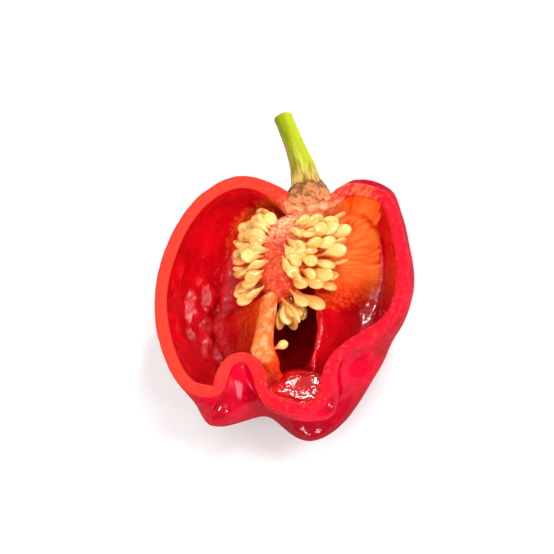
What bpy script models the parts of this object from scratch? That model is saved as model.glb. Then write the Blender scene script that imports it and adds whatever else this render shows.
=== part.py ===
"""Half a habanero pepper, cut lengthwise and lying on its back with the cut face up.

The stem points along +Y, +X is to the right of the cut face, and +Z is up. The origin is the middle of the
small flat spot that the half rests on. Sizes are in millimetres until an object's mesh is written in metres.
"""

import math
import random

import bmesh
import bpy
import numpy as np
from mathutils.bvhtree import BVHTree

METRES = 0.001
GAP = 0.35  # clearance between pieces that meet

# The cut face and the bowl below it
CUT_Z = 26.0  # height of the cut face above the resting spot
BOWL_DEPTH = 26.5  # a little deeper than the cut face is high, so the lowest spot is flat
BOWL_FULLNESS = 2.35  # exponent of the side's curve: 2 is an ellipse
RIM_STEPS = 82
BOWL_STEPS = 17
DETAIL_FADES = (1.5, 13.0)  # depths between which the cut edge's folds melt into a plain round outline
QUICK_FADES = ((242, 11, 0.65), (321, 14, 0.3))  # folds that melt sooner: bearing, spread, how much sooner
ROUND_HARMONICS = 3
INNER_HARMONICS = 13

# Outer line of the cut edge, anticlockwise from the right side
CUT_EDGE = (
    (26.0, 4.0),
    (25.0, 13.0),
    (23.5, 19.0),
    (21.5, 23.0),
    (17.5, 25.5),
    (13.5, 26.0),
    (11.0, 25.0),
    (9.0, 23.3),
    (6.5, 22.6),
    (3.5, 22.6),
    (1.0, 23.7),
    (-1.2, 25.5),
    (-4.0, 27.2),
    (-8.0, 29.0),
    (-13.0, 29.2),
    (-18.5, 26.5),
    (-22.5, 22.5),
    (-26.0, 16.5),
    (-28.5, 9.0),
    (-29.3, 1.5),
    (-28.5, -6.5),
    (-25.5, -15.0),
    (-22.0, -19.5),
    (-18.0, -21.5),
    (-14.5, -21.0),
    (-13.0, -18.0),
    (-12.0, -15.0),
    (-9.8, -14.0),
    (-8.2, -16.5),
    (-7.2, -20.0),
    (-5.5, -23.5),
    (-2.0, -25.7),
    (2.5, -27.0),
    (6.5, -26.0),
    (8.6, -23.5),
    (9.6, -20.0),
    (10.6, -16.8),
    (13.0, -13.7),
    (18.0, -11.2),
    (22.0, -8.5),
    (24.8, -3.0),
)

# Bulges (height above 0) and hollows of the skin: name, bearing in degrees, depth below the cut face,
# spread in degrees, spread in depth, height
SKIN_FORMS = (
    ("belly of the left lobe", 236, 7.5, 14, 7.0, 5.8),
    ("chin of the middle lobe", 284, 3.2, 10, 3.0, 2.6),
    ("waist under the chin", 281, 9.0, 18, 3.0, -3.0),
    ("lobe behind", 266, 17.0, 30, 7.5, 9.0),
    ("right side", 5, 6.0, 34, 6.0, 1.2),
    ("right shoulder", 56, 5.0, 14, 5.0, 2.6),
    ("left shoulder", 122, 10.0, 22, 7.0, 1.5),
    ("dimple under the stem", 83, 8.0, 11, 8.0, -3.5),
)

# Ridge inside, under the pocket of the middle lobe: bearing, depth, spread in degrees, reach above, reach
# below, height
SILL = (275, 7.5, 17, 4.2, 2.0, 7.5)

# Furrows that run along the back from the stem to the tip: how far to the side, width, depth
BACK_FURROWS = ((-14.5, 4.8, 1.9), (11.0, 4.2, 1.6), (-24.0, 3.5, 1.1), (21.5, 3.5, 0.9))
BACK_HALF_LENGTH = 31.0

# Dips of the cut face, which a knife leaves a little uneven: x, y, spread, depth
CUT_DIPS = ((18.0, 24.0, 8.0, 2.6), (-9.0, -17.0, 5.0, 1.2))

# Thickness of the wall at the cut, how much is added at the stem, and the thickness underneath
WALL = 2.7
WALL_AT_STEM = 0.5
WALL_BELOW = 3.2
INSIDE_FORMS = 0.85  # how much of the skin's bulges and furrows shows inside

# Webs between the chambers: each runs from a top edge down to a foot buried in the wall. An edge's points are
# y, x, depth below the cut face, half thickness.
WEB_STEPS = 20
WEB_ROWS = 6
LEFT_WEB_TOP = (
    (24.0, -2.5, 7.0, 0.9),
    (4.0, -3.0, 7.0, 0.9),
    (1.5, -3.0, 1.2, 1.3),
    (-3.0, -3.4, 0.3, 1.6),
    (-7.0, -4.3, 0.3, 1.9),
    (-11.0, -5.0, 0.3, 2.9),
    (-13.5, -4.6, 1.4, 3.3),
    (-16.0, -4.2, 4.0, 2.4),
    (-20.0, -4.2, 8.0, 1.4),
)
LEFT_WEB_FOOT = (
    (24.0, -21.6, 20.2, 1.2),
    (0.0, -22.0, 21.0, 1.2),
    (-20.0, -13.0, 26.0, 1.2),
)
RIGHT_WEB_TOP = (
    (24.0, 3.5, 6.5, 0.9),
    (12.0, 4.0, 7.0, 0.9),
    (4.0, 4.4, 7.5, 0.9),
    (-5.0, 5.2, 7.0, 0.8),
    (-10.0, 4.2, 7.2, 0.8),
    (-13.0, 2.8, 8.5, 0.9),
    (-20.0, 2.0, 12.0, 1.2),
)
RIGHT_WEB_FOOT = (
    (24.0, 26.0, 15.0, 1.2),
    (12.0, 25.0, 17.0, 1.2),
    (0.0, 18.0, 23.0, 1.2),
    (-20.0, 12.0, 26.0, 1.4),
)

# Core that carries the seeds. Each row: y, x, half width, depth of its middle, half depth
CORE_STEPS = 20
CORE_RINGS = 14
CORE_TOP = 0.25  # below the cut face
CORE = (
    (20.9, 1.4, 5.2, 4.0, 4.4),
    (16.5, 0.0, 6.2, 4.8, 5.8),
    (11.5, -0.8, 6.8, 5.2, 6.4),
    (6.5, -1.8, 5.8, 5.2, 6.0),
    (3.0, -2.6, 4.2, 4.6, 5.0),
    (0.0, -3.2, 2.4, 3.2, 3.4),
)

# Seeds in rows along the core: bearing around it in degrees (0 to the right, 90 up), first and last share of
# the core's length from the stem, number, stalk length
SEED_ROWS = (
    (78, 0.12, 0.62, 6, 0.0),
    (66, 0.10, 0.55, 4, 0.1),
    (44, 0.02, 0.80, 8, 0.7),
    (24, 0.00, 0.90, 9, 2.4),
    (4, 0.00, 0.95, 10, 3.6),
    (-18, 0.04, 0.98, 9, 3.0),
    (-44, 0.30, 1.00, 7, 1.6),
    (124, 0.04, 0.60, 6, 0.1),
    (144, 0.00, 0.85, 9, 1.0),
    (164, 0.00, 0.92, 10, 2.2),
    (184, 0.00, 0.96, 10, 2.8),
    (208, 0.10, 1.00, 8, 2.0),
)
HANGING_ROWS = (  # the same for the core's lower end, where seeds lean further down
    (200, 0.80, 1.00, 4, 1.0),
    (-30, 0.78, 1.00, 4, 1.6),
    (-62, 0.70, 1.00, 4, 2.6),
)
HANG = 24.0  # how much further, in degrees
SEED_SIDES = 7
SEED_PROFILE = ((-0.6, 0.0), (0.3, 0.4), (0.9, 1.1), (1.9, 1.5), (2.9, 1.1), (3.4, 0.0))
SEED_HALF_THICKNESS = 0.5
SEED_RISE = 0.08  # most that a seed points upwards, as a share of how far it points sideways
SEED_FAN = 62.0  # how far the first and last seeds of a row lean towards the ends, in degrees
SEED_LEANS = (1.0, 0.6, 0.2, -0.2)  # shares of the lean to try, where the wall is in the way
SEED_CLEARANCE = 0.4
SEED_DRAW = 41

# Stem. Axis: x, y, depth. Profile: distance along the axis, radius, how ragged (share of the radius)
STEM_SIDES = 20
STEM_AXIS = ((4.4, 20.2, 3.3), (3.9, 25.0, 2.6), (2.9, 31.0, 2.2), (0.8, 37.5, 2.0), (-1.9, 45.2, 2.0))
STEM_PROFILE = (
    (0.0, 2.6, 0.0),
    (1.4, 4.2, 0.03),
    (2.6, 5.0, 0.06),
    (4.0, 4.7, 0.1),
    (5.4, 4.1, 0.14),
    (6.2, 3.75, 0.16),
    (6.6, 3.3, 0.06),
    (8.0, 3.15, 0.03),
    (10.4, 2.85, 0.03),
    (13.0, 2.5, 0.03),
    (16.5, 2.2, 0.03),
    (23.0, 2.05, 0.03),
    (24.3, 2.15, 0.03),
    (24.6, 1.85, 0.03),
)
STEM_RIDGES = 5


def smooth_step(value, low, high):
    """0 below low, 1 above high, and a smooth rise between them."""
    share = np.clip((value - low) / (high - low), 0.0, 1.0)
    return share * share * (3.0 - 2.0 * share)


def closed_curve(points, count):
    """count points along a smooth closed curve through the given ones."""
    points = np.array(points, float)
    place = np.arange(count) / count * len(points)
    before = np.floor(place).astype(int)
    t = (place - before)[:, None]
    a, b, c, d = (points[(before + step) % len(points)] for step in (-1, 0, 1, 2))
    return 0.5 * (2 * b + (c - a) * t + (2 * a - 5 * b + 4 * c - d) * t**2 + (3 * b - a - 3 * c + d) * t**3)


def rounded(curve, harmonics):
    """The closed curve without its folds: only its first few harmonics."""
    waves = np.fft.fft(curve[:, 0] + 1j * curve[:, 1])
    order = np.abs(np.fft.fftfreq(len(curve), 1.0 / len(curve)))
    waves[order > harmonics] = 0.0
    plain = np.fft.ifft(waves)
    return np.stack([plain.real, plain.imag], axis=1)


def bearing_gap(bearing, centre):
    """Signed difference of two bearings in degrees, from -180 to 180."""
    return (bearing - centre + 180.0) % 360.0 - 180.0


def across(curve):
    """Outward horizontal direction at each point of a closed curve."""
    along = np.roll(curve, -1, axis=0) - np.roll(curve, 1, axis=0)
    out = np.stack([along[:, 1], -along[:, 0]], axis=1)
    return out / np.linalg.norm(out, axis=1, keepdims=True)


def cut_dip(x, y):
    """How far the cut face sinks at a point."""
    return sum(dip * np.exp(-((x - cx) ** 2 + (y - cy) ** 2) / spread**2) for cx, cy, spread, dip in CUT_DIPS)


def skin_rise(bearing, depth):
    """How far the bulges and hollows push the skin outwards."""
    rise = np.zeros(np.broadcast(bearing, depth).shape)
    for _, centre, level, spread, reach, height in SKIN_FORMS:
        beside = bearing_gap(bearing, centre) / spread
        rise += height * np.exp(-(beside**2) - ((depth - level) / reach) ** 2)
    return rise


def sill_rise(bearing, depth):
    """How far the ridge under the pocket of the middle lobe comes in towards +Y."""
    centre, level, spread, above, below, height = SILL
    reach = np.where(depth < level, above, below)
    return height * np.exp(-((bearing_gap(bearing, centre) / spread) ** 2) - ((depth - level) / reach) ** 2)


def furrow_drop(x, y, depth):
    """How deep the furrows on the back cut into the skin."""
    arch = np.sqrt(np.clip(1.0 - (y / BACK_HALF_LENGTH) ** 2, 0.02, 1.0))
    drop = sum(deep * np.exp(-(((x - side * arch) / width) ** 2)) for side, width, deep in BACK_FURROWS)
    return drop * smooth_step(depth, 7.0, 16.0)


def melted(bearing, depth):
    """How far the folds of the cut edge have melted away, from 0 to 1."""
    sooner = np.zeros(np.shape(bearing))
    for centre, spread, share in QUICK_FADES:
        sooner += share * np.exp(-((bearing_gap(bearing, centre) / spread) ** 2))
    return smooth_step(depth / (1.0 - sooner), *DETAIL_FADES)


def bowl(edge, plain, depth_below, forms, sill):
    """Points of a bowl below a closed edge, whose folds melt into a plain outline further down: a grid
    [ring, step, xyz] from the edge down."""
    fall = np.arange(BOWL_STEPS) / BOWL_STEPS * math.pi / 2.0
    share = np.sin(fall)[:, None]
    depth = depth_below * share
    narrowing = (1.0 - share**BOWL_FULLNESS) ** (1.0 / BOWL_FULLNESS)
    radius = np.hypot(plain[:, 0], plain[:, 1])
    bearing = np.degrees(np.arctan2(plain[:, 1], plain[:, 0]))[None, :]
    melt = melted(bearing, depth)[:, :, None]
    flat = (edge * (1.0 - melt) + plain * melt) * narrowing[:, :, None]
    rise = forms * skin_rise(bearing, depth) * narrowing * smooth_step(depth, 0.0, 2.0)
    flat = flat + (plain / radius[:, None]) * rise[:, :, None]
    flat[:, :, 1] += sill * sill_rise(bearing, depth)
    height = CUT_Z - depth - cut_dip(flat[:, :, 0], flat[:, :, 1]) * (1.0 - share) ** 2
    drop = forms * furrow_drop(flat[:, :, 0], flat[:, :, 1], depth)
    reach = np.hypot(flat[:, :, 0], CUT_Z - height) + 0.1
    flat[:, :, 0] -= drop * flat[:, :, 0] / reach
    height = height + drop * (CUT_Z - height) / reach
    return np.dstack([flat, height])


def turned_over(grid):
    """The same grid turned over above the cut face, a little higher so that the two edges stay apart."""
    return grid * (1.0, 1.0, -1.0) + (0.0, 0.0, 2.0 * CUT_Z + 1.0)


def swollen_skin(gap):
    """Points of the skin moved outwards by a gap."""
    edge = closed_curve(CUT_EDGE, RIM_STEPS)
    plain = rounded(edge, ROUND_HARMONICS)
    return bowl(edge + across(edge) * gap, plain + across(plain) * gap, BOWL_DEPTH + gap, 1.0, 0.0)


def wall_surfaces():
    """Points of the skin and of the wall's inner side."""
    edge = closed_curve(CUT_EDGE, RIM_STEPS)
    bearing = np.degrees(np.arctan2(edge[:, 1], edge[:, 0]))
    thickness = WALL + WALL_AT_STEM * np.exp(-((bearing_gap(bearing, 82.0) / 22.0) ** 2))
    plain = rounded(edge, ROUND_HARMONICS)
    inner_edge = rounded(edge - across(edge) * thickness[:, None], INNER_HARMONICS)
    inner_plain = plain - across(plain) * thickness[:, None]
    skin = bowl(edge, plain, BOWL_DEPTH, 1.0, 0.0)
    inner = bowl(inner_edge, inner_plain, CUT_Z - WALL_BELOW, INSIDE_FORMS, 1.0)
    skin[:, :, 2] = np.maximum(skin[:, :, 2], 0.0)
    return skin, inner


def make_material(name, colour, roughness):
    material = bpy.data.materials.new(name)
    material.use_nodes = True
    shader = material.node_tree.nodes["Principled BSDF"]
    shader.inputs["Base Color"].default_value = (*colour, 1.0)
    shader.inputs["Roughness"].default_value = roughness
    return material


def make_object(name, bm, collection, material=None):
    """Writes the bmesh, which is in millimetres, as an object in metres."""
    bmesh.ops.scale(bm, vec=(METRES, METRES, METRES), verts=bm.verts)
    bmesh.ops.recalc_face_normals(bm, faces=bm.faces)
    mesh = bpy.data.meshes.new(name)
    bm.to_mesh(mesh)
    bm.free()
    if material:
        mesh.materials.append(material)
    obj = bpy.data.objects.new(name, mesh)
    collection.objects.link(obj)
    return obj


def make_cutter(name, bm, cutters):
    obj = make_object(name, bm, cutters)
    obj.hide_render = True
    obj.display_type = "WIRE"
    return obj


def combine(obj, other, operation):
    """Applies a Boolean of obj with an object, or with all the objects of a collection."""
    modifier = obj.modifiers.new(operation.lower(), "BOOLEAN")
    modifier.operation = operation
    modifier.solver = "EXACT"
    if isinstance(other, bpy.types.Collection):
        modifier.operand_type = "COLLECTION"
        modifier.collection = other
    else:
        modifier.object = other
    depsgraph = bpy.context.evaluated_depsgraph_get()
    mesh = bpy.data.meshes.new_from_object(obj.evaluated_get(depsgraph))
    obj.modifiers.clear()
    obj.data = mesh


def shade_round(obj, angle=50.0):
    obj.data.shade_smooth()
    obj.data.set_sharp_from_angle(angle=math.radians(angle))


def ball_places(bm, steps, rings):
    """For each vertex of a UV sphere with its poles on Z: (ring counted from the lower pole, step)."""
    places = {}
    for vert in bm.verts:
        ring = round((1.0 - math.acos(max(-1.0, min(1.0, vert.co.z))) / math.pi) * rings)
        step = round(math.atan2(vert.co.y, vert.co.x) / (2.0 * math.pi) * steps) % steps
        places[vert] = (ring, step)
    return places


def wall_shape(lower, upper):
    """A ball whose lower half follows one grid and whose upper half the other, both from the cut edge on."""
    rings, steps = lower.shape[:2]
    bm = bmesh.new()
    bmesh.ops.create_uvsphere(bm, u_segments=steps, v_segments=2 * rings + 1, radius=1.0)
    for vert, (ring, step) in ball_places(bm, steps, 2 * rings + 1).items():
        if ring == 0:
            vert.co = lower[-1].mean(axis=0)
        elif ring == 2 * rings + 1:
            vert.co = upper[-1].mean(axis=0)
        elif ring <= rings:
            vert.co = lower[rings - ring, step]
        else:
            vert.co = upper[ring - rings - 1, step]
    return bm


def edge_at(edge, y):
    """x, depth and half thickness of a web's edge at a given y."""
    table = np.array(edge, float)[::-1]
    return [float(np.interp(y, table[:, 0], table[:, column])) for column in (1, 2, 3)]


def make_sheet(name, top, foot, cutters):
    """A web: a sheet of cells from a top edge down to a foot, thick on both sides of its middle."""
    bm = bmesh.new()
    bmesh.ops.create_grid(bm, x_segments=WEB_STEPS, y_segments=WEB_ROWS, size=0.5)
    extruded = bmesh.ops.extrude_face_region(bm, geom=list(bm.faces))
    lifted = {item for item in extruded["geom"] if isinstance(item, bmesh.types.BMVert)}
    first, last = top[0][0], top[-1][0]
    for vert in bm.verts:
        y = first + (vert.co.x + 0.5) * (last - first)
        down = vert.co.y + 0.5
        x0, depth0, half0 = edge_at(top, y)
        x1, depth1, half1 = edge_at(foot, y)
        run = np.array([x1 - x0, depth0 - depth1])
        run /= np.linalg.norm(run)
        lean = min(1.0, down * 4.0)
        half = half0 + (half1 - half0) * min(1.0, down * 2.5)
        if vert in lifted:
            half = -half
        x = x0 + (x1 - x0) * down + half * (1.0 - lean - lean * run[1])
        z = CUT_Z - cut_dip(x, y) - depth0 - (depth1 - depth0) * down + half * lean * run[0]
        vert.co = (x, y, z)
    return make_cutter(name, bm, cutters)


def core_row(y):
    table = np.array(CORE, float)[::-1]
    return [float(np.interp(y, table[:, 0], table[:, column])) for column in (1, 2, 3, 4)]


def core_point(share, turn, swell=0.0):
    """A point of the core's surface: share of its length from the stem, and bearing around it in degrees."""
    first, last = CORE[0][0], CORE[-1][0]
    y = first + (last - first) * share
    x, half_width, depth, half_depth = core_row(y)
    rounding = max(0.0, 1.0 - abs(2.0 * share - 1.0) ** 3.5) ** 0.5
    turn = math.radians(turn)
    side = (half_width * rounding + swell) * math.cos(turn)
    up = (half_depth * rounding + swell) * math.sin(turn)
    y += swell * (1.0 - 2.0 * share)
    return np.array([x + side, y, min(CUT_Z - depth + up, CUT_Z - CORE_TOP + swell * 4.0)])


def core_shape(swell=0.0):
    bm = bmesh.new()
    bmesh.ops.create_uvsphere(bm, u_segments=CORE_STEPS, v_segments=CORE_RINGS, radius=1.0)
    for vert, (ring, step) in ball_places(bm, CORE_STEPS, CORE_RINGS).items():
        share = 0.5 - 0.5 * math.cos(ring / CORE_RINGS * math.pi)
        vert.co = core_point(share, step / CORE_STEPS * 360.0, swell)
    return bm


def seed_shape(root, direction, flat, stalk):
    """One seed on its stalk: a ball drawn out along a direction and pressed thin."""
    along = direction / np.linalg.norm(direction)
    thin = flat - along * (flat @ along)
    thin /= np.linalg.norm(thin)
    wide = np.cross(along, thin)
    rings = len(SEED_PROFILE) - 1
    bm = bmesh.new()
    bmesh.ops.create_uvsphere(bm, u_segments=SEED_SIDES, v_segments=rings, radius=1.0)
    for vert, (ring, step) in ball_places(bm, SEED_SIDES, rings).items():
        far, half = SEED_PROFILE[ring]
        far += stalk if ring > 1 else 0.0
        thick = min(half, SEED_HALF_THICKNESS)
        turn = step / SEED_SIDES * 2.0 * math.pi
        vert.co = root + along * far + wide * half * math.cos(turn) + thin * thick * math.sin(turn)
    return bm


def seed_places(draw):
    """Root, outward direction, lean, flat side and stalk length of each seed, row by row along the core."""
    rows = [(*row, 0.0) for row in SEED_ROWS] + [(*row, HANG) for row in HANGING_ROWS]
    for turn, first, last, number, stalk, hang in rows:
        for index in range(number):
            share = first + (last - first) * (index + draw.uniform(-0.25, 0.25)) / (number - 1)
            share = min(0.97, max(0.03, share))
            bearing = turn + draw.uniform(-9.0, 9.0)
            root = core_point(share, bearing)
            out = root - core_point(share, bearing, -1.0)
            out[1] = 0.0
            out[2] = min(out[2], SEED_RISE * abs(out[0]))
            out /= np.linalg.norm(out)
            lean = math.radians(SEED_FAN * (1.0 - 2.0 * share) - hang + draw.uniform(-12.0, 12.0))
            flat = np.array([draw.uniform(-0.6, 0.6), draw.uniform(-0.6, 0.6), 1.0])
            yield root, out, lean, flat, stalk * draw.uniform(0.7, 1.2)


def stem_point(axis, reach, far):
    """Point of the stem's axis at a distance along it."""
    return np.array([np.interp(far, reach, axis[:, column]) for column in range(3)])


def stem_shape():
    """A bent stalk of changing radius, with the ridges of its collar near the foot."""
    axis = np.array(STEM_AXIS, float)
    axis[:, 2] = CUT_Z - axis[:, 2]
    spacing = np.linalg.norm(np.diff(axis, axis=0), axis=1)
    reach = np.concatenate([[0.0], np.cumsum(spacing)])
    profile = [(STEM_PROFILE[0][0], 0.0, 0.0), *STEM_PROFILE, (STEM_PROFILE[-1][0], 0.0, 0.0)]
    rings = len(profile) - 1
    bm = bmesh.new()
    bmesh.ops.create_uvsphere(bm, u_segments=STEM_SIDES, v_segments=rings, radius=1.0)
    for vert, (ring, step) in ball_places(bm, STEM_SIDES, rings).items():
        far, radius, ragged = profile[ring]
        here = stem_point(axis, reach, far)
        along = stem_point(axis, reach, far + 0.6) - stem_point(axis, reach, far - 0.6)
        along /= np.linalg.norm(along)
        side = np.cross(along, (0.0, 0.0, 1.0))
        side /= np.linalg.norm(side)
        up = np.cross(side, along)
        turn = step / STEM_SIDES * 2.0 * math.pi
        radius *= 1.0 + ragged * math.cos(STEM_RIDGES * turn + 0.8)
        vert.co = here + side * radius * math.cos(turn) + up * radius * math.sin(turn)
    return bm


def make_wall(pepper, cutters, material):
    """The wall with its webs, which are trimmed to the middle of the wall so that their feet end in it."""
    skin, inner = wall_surfaces()
    middle = (skin + inner) / 2.0
    trim = make_cutter("wall_middle", wall_shape(middle, turned_over(middle)), cutters)
    left = make_sheet("left_web", LEFT_WEB_TOP, LEFT_WEB_FOOT, cutters)
    right = make_sheet("right_web", RIGHT_WEB_TOP, RIGHT_WEB_FOOT, cutters)
    combine(left, trim, "INTERSECT")
    combine(right, trim, "INTERSECT")
    wall = make_object("fruit_wall", wall_shape(skin, inner), pepper, material)
    combine(wall, left, "UNION")
    combine(wall, right, "UNION")
    combine(wall, make_cutter("core_room", core_shape(GAP), cutters), "DIFFERENCE")
    shade_round(wall)
    return wall


def far_enough(tree, bm):
    """True if every vertex of a seed keeps clear of the wall."""
    for vert in bm.verts:
        near = tree.find_nearest(vert.co * METRES)
        if near[3] < SEED_CLEARANCE * METRES:
            return False
    return True


def make_seed(number, place, tree, seeds):
    """A seed at its full lean, or at a smaller one where it would come too close to the wall, or none."""
    root, out, lean, flat, stalk = place
    for ease in SEED_LEANS:
        direction = out * math.cos(lean * ease) + np.array([0.0, math.sin(lean * ease), 0.0])
        bm = seed_shape(root, direction, flat, stalk)
        if far_enough(tree, bm):
            make_cutter(f"seed_{number}", bm, seeds)
            return
        bm.free()


def make_placenta(pepper, wall, material):
    """The core and the seeds that keep clear of the wall, joined in one Boolean."""
    tree = BVHTree.FromObject(wall, bpy.context.evaluated_depsgraph_get())
    seeds = bpy.data.collections.new("seeds")
    bpy.context.scene.collection.children.link(seeds)
    draw = random.Random(SEED_DRAW)
    for number, place in enumerate(seed_places(draw)):
        make_seed(number, place, tree, seeds)
    placenta = make_object("placenta_with_seeds", core_shape(), pepper, material)
    combine(placenta, seeds, "UNION")
    for seed in list(seeds.objects):
        bpy.data.objects.remove(seed, do_unlink=True)
    bpy.data.collections.remove(seeds)
    shade_round(placenta)
    return placenta


def make_stem(pepper, cutters, material):
    """The stem, with its foot cut to the skin that it sits on."""
    stem = make_object("stem", stem_shape(), pepper, material)
    skin = swollen_skin(GAP)
    combine(stem, make_cutter("skin_room", wall_shape(skin, turned_over(skin)), cutters), "DIFFERENCE")
    shade_round(stem)
    return stem


def main():
    for obj in list(bpy.data.objects):
        bpy.data.objects.remove(obj, do_unlink=True)
    pepper = bpy.data.collections.new("habanero_half")
    cutters = bpy.data.collections.new("cutters")
    bpy.context.scene.collection.children.link(pepper)
    bpy.context.scene.collection.children.link(cutters)
    red = make_material("red_flesh", (0.62, 0.01, 0.01), 0.25)
    cream = make_material("cream_seeds", (0.9, 0.55, 0.2), 0.4)
    green = make_material("green_stem", (0.35, 0.5, 0.05), 0.5)
    wall = make_wall(pepper, cutters, red)
    make_placenta(pepper, wall, cream)
    make_stem(pepper, cutters, green)


main()
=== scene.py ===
"""Looks of the halved habanero pepper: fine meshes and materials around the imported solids.

Shapes are worked out in millimetres in the CAD model's frame: the half lies on its back, +Y runs towards the
stem, +X to the right of the cut face, and +Z out of it. Each mesh is written in metres.
"""

import math
import random

import bmesh
import bpy
import numpy as np
from mathutils import Matrix, Vector, noise
from mathutils.bvhtree import BVHTree


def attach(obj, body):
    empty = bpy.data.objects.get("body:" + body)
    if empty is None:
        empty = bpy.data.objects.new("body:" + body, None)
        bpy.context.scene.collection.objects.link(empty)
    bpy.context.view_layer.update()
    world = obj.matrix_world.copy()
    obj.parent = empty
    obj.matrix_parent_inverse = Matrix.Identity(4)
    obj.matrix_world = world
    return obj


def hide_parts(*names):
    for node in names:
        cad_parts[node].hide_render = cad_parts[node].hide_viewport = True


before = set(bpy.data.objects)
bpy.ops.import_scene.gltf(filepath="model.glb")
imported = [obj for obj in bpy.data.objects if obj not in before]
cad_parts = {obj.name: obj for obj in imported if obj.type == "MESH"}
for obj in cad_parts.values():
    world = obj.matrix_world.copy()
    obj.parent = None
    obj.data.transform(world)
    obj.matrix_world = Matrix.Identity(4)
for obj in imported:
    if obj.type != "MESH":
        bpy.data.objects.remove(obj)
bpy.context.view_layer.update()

METRES = 0.001

# Camera, from the photograph's frame of 554 pixels. It leans from straight above to the right and to the tip
IMAGE = 554
CAMERA_TILT = (12.0, 24.0)  # degrees
CAMERA_DISTANCE = 420.0
CAMERA_AIM = (-2.34, 4.43, 26.0)
PIXELS_PER_MM = 4.7  # in the photograph, at the cut face
SENSOR = 36.0

# Studio lights: name, place and size in metres, and power in watts. They face the pepper
LIGHTS = (
    ("front", (-0.15, -0.28, 0.6), (0.3, 0.3), 0.9),
    ("above", (0.2, 0.02, 0.6), (0.09, 0.09), 0.5),
    ("high_right", (0.42, -0.05, 0.47), (0.2, 0.2), 1.7),
    ("back_right", (0.22, 0.32, 0.56), (0.06, 0.06), 0.8),
    ("back", (0.02, 0.65, 0.21), (0.22, 0.08), 1.9),
    ("front_left", (-0.08, -0.56, 0.4), (0.12, 0.07), 1.9),
    ("low_left", (-0.5, -0.5, 0.18), (0.07, 0.06), 0.7),
    ("right", (0.62, -0.28, 0.27), (0.06, 0.06), 0.7),
)
LIGHT_AIM = (0.0, 0.0, 0.015)
SURROUNDINGS = 0.42  # strength of the even white light from all round
FLOOR = 3000.0  # from its middle to each side

# The bowl, as in the CAD model. Bearings are in degrees around the middle, depths are below the cut
CUT_Z = 26.0
BOWL_DEPTH = 26.5
BOWL_FULLNESS = 2.35
DETAIL_FADES = (1.5, 13.0)  # the folds of the cut edge melt away between these depths
QUICK_FADES = ((242, 11, 0.65), (321, 14, 0.3))  # bearing, spread, and how much sooner they do
ROUND_HARMONICS = 3  # what is left of the cut edge when its folds have melted away
INNER_HARMONICS = 13
WALL = 2.7
WALL_AT_STEM = 0.5
STEM_BEARING = 82.0
STEM_SPREAD = 22.0
WALL_BELOW = 3.2
INSIDE_FORMS = 0.85  # how much of the skin's forms show inside
CUT_EDGE = (  # x, y
    (26.0, 4.0), (25.0, 13.0), (23.5, 19.0), (21.5, 23.0), (17.5, 25.5), (13.5, 26.0),
    (11.0, 25.0), (9.0, 23.3), (6.5, 22.6), (3.5, 22.6), (1.0, 23.7), (-1.2, 25.5),
    (-4.0, 27.2), (-8.0, 29.0), (-13.0, 29.2), (-18.5, 26.5), (-22.5, 22.5), (-26.0, 16.5),
    (-28.5, 9.0), (-29.3, 1.5), (-28.5, -6.5), (-25.5, -15.0), (-22.0, -19.5), (-18.0, -21.5),
    (-14.5, -21.0), (-13.0, -18.0), (-12.0, -15.0), (-9.8, -14.0), (-8.2, -16.5), (-7.2, -20.0),
    (-5.5, -23.5), (-2.0, -25.7), (2.5, -27.0), (6.5, -26.0), (8.6, -23.5), (9.6, -20.0),
    (10.6, -16.8), (13.0, -13.7), (18.0, -11.2), (22.0, -8.5), (24.8, -3.0),
)
SKIN_FORMS = (  # name, bearing, depth, spread in degrees, reach in depth, height
    ("belly of the left lobe", 236, 7.5, 14, 7.0, 5.8),
    ("chin of the middle lobe", 284, 3.2, 10, 3.0, 2.6),
    ("waist under the chin", 281, 9.0, 18, 3.0, -3.0),
    ("lobe behind", 266, 17.0, 30, 7.5, 9.0),
    ("right side", 5, 6.0, 34, 6.0, 1.2),
    ("right shoulder", 56, 5.0, 14, 5.0, 2.6),
    ("left shoulder", 122, 10.0, 22, 7.0, 1.5),
    ("dimple under the stem", 83, 8.0, 11, 8.0, -3.5),
)
SILL = (275, 7.5, 17, 4.2, 2.0, 7.5)  # bearing, depth, spread, reach above and below, height
BACK_FURROWS = ((-14.5, 4.8, 1.9), (11.0, 4.2, 1.6), (-24.0, 3.5, 1.1), (21.5, 3.5, 0.9))  # x, width, depth
BACK_HALF_LENGTH = 31.0
CUT_DIPS = ((18.0, 24.0, 8.0, 2.6), (-9.0, -17.0, 5.0, 1.2))  # x, y, spread, depth

# Fineness of the shell, and how round the knife left the two edges of the cut
SKIN, CUT, INSIDE = 0, 1, 2  # its zones
SHELL_STEPS = 480
SKIN_RINGS = 88
INNER_RINGS = 78
MIDDLE_STEPS = 160  # for the body that the webs are trimmed to
MIDDLE_RINGS = 34
BELOW_ROUNDING = 0.15  # the sides start this far below the rounded edges
BAND_SHARES = (0.0, 0.02, 0.05, 0.1, 0.2, 0.32, 0.45, 0.58, 0.7, 0.8, 0.87, 0.92, 0.96, 1.0)
OUTER_ROUND = 0.35
INNER_ROUND = 0.6
RIM_SHARE = 0.05  # how wide the deeper line along the outer edge of the cut is

# Relief of each surface: height, size of the bumps, and place in the noise
SKIN_RELIEF = ((0.16, 7.0, 0.0), (0.05, 2.4, 9.0))
CUT_RELIEF = ((0.07, 1.7, 4.0), (0.04, 0.7, 2.0))
INNER_RELIEF = ((0.3, 5.0, 3.0), (0.16, 2.2, 6.0))
CREASES = ((1.7, 3.1, 12.0), (0.5, 1.2, 3.0))
WEB_RELIEF = ((0.1, 2.5, 0.0),)
CORE_RELIEF = ((0.3, 1.9, 0.0), (0.16, 0.8, 5.0))
CALYX_RELIEF = ((0.2, 1.3, 0.0), (0.12, 0.55, 4.0))

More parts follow.
